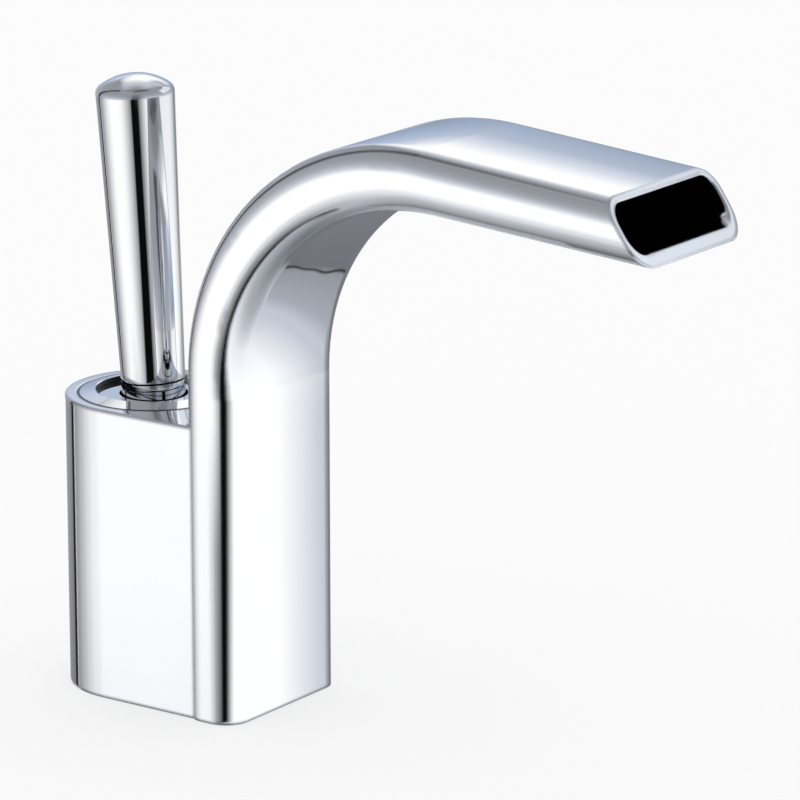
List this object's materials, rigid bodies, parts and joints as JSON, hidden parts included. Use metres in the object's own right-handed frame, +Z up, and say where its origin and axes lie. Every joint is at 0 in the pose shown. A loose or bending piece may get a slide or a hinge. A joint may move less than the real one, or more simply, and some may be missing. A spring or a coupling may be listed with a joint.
{
  "type": "waterfall basin mixer tap",
  "caption": "Chromed single-lever basin mixer: round-backed housing, bent flat column and wide open waterfall spout, with a tilting and turning bar lever.",
  "frame": {"origin": "centre of the recess over the tap hole, in the plane of the base that stands on the basin", "axes": "+Z up, -Y along the spout towards the user, +X to the user's right when facing the tap from the basin"},
  "size_m": [0.049, 0.1951, 0.1668],
  "materials": {
    "chromed_casting": "polished chrome on cast brass",
    "chromed_trim": "polished chrome on turned brass",
    "chromed_lever": "polished chrome on zinc",
    "brass": "turned, plain",
    "stainless_steel": "turned",
    "alumina": "lapped",
    "white_acetal": "moulded",
    "grey_nylon": "moulded",
    "ptfe": "waxy",
    "black_rubber": "moulded"
  },
  "bodies": {
    "housing": {"body_casting": "chromed_casting", "core_plug": "brass", "core_plug_seal": "black_rubber", "base_gasket": "black_rubber", "cartridge_base": "white_acetal", "port_seals": "black_rubber", "cartridge_o_ring": "black_rubber", "disc_seals": "black_rubber", "fixed_disc": "alumina", "cartridge_shell": "white_acetal", "ball_seat": "ptfe", "ball_retainer": "chromed_trim", "slip_washer": "ptfe", "clamping_nut": "brass", "trim_plate": "chromed_trim", "bonnet_ring": "chromed_trim", "bonnet_o_ring": "black_rubber"},
    "guide": {"stem_guide": "grey_nylon"},
    "valve": {"disc_carrier": "grey_nylon", "moving_disc": "alumina"},
    "handle": {"ball_stem": "stainless_steel", "stem_sleeve": "grey_nylon", "lever_collar": "chromed_lever", "lever": "chromed_lever", "grub_screw": "stainless_steel"}
  },
  "joints": [
    {"name": "temperature_turn", "type": "hinge", "parent": "housing", "child": "guide", "pos_m": [0, 0.006, 0.079], "axis": [0, 0, 1], "range_deg": [-45, 45]},
    {"name": "flow_tilt", "type": "hinge", "parent": "guide", "child": "handle", "pos_m": [0, 0.006, 0.079], "axis": [1, 0, 0], "range_deg": [0, 18]},
    {"name": "disc_slide", "type": "slide", "parent": "guide", "child": "valve", "axis": [0, 1, 0], "range_m": [0, 0.00516]}
  ],
  "couplings": [
    {"joint": "disc_slide", "follows": "flow_tilt", "m_per_rad": 0.01636}
  ]
}
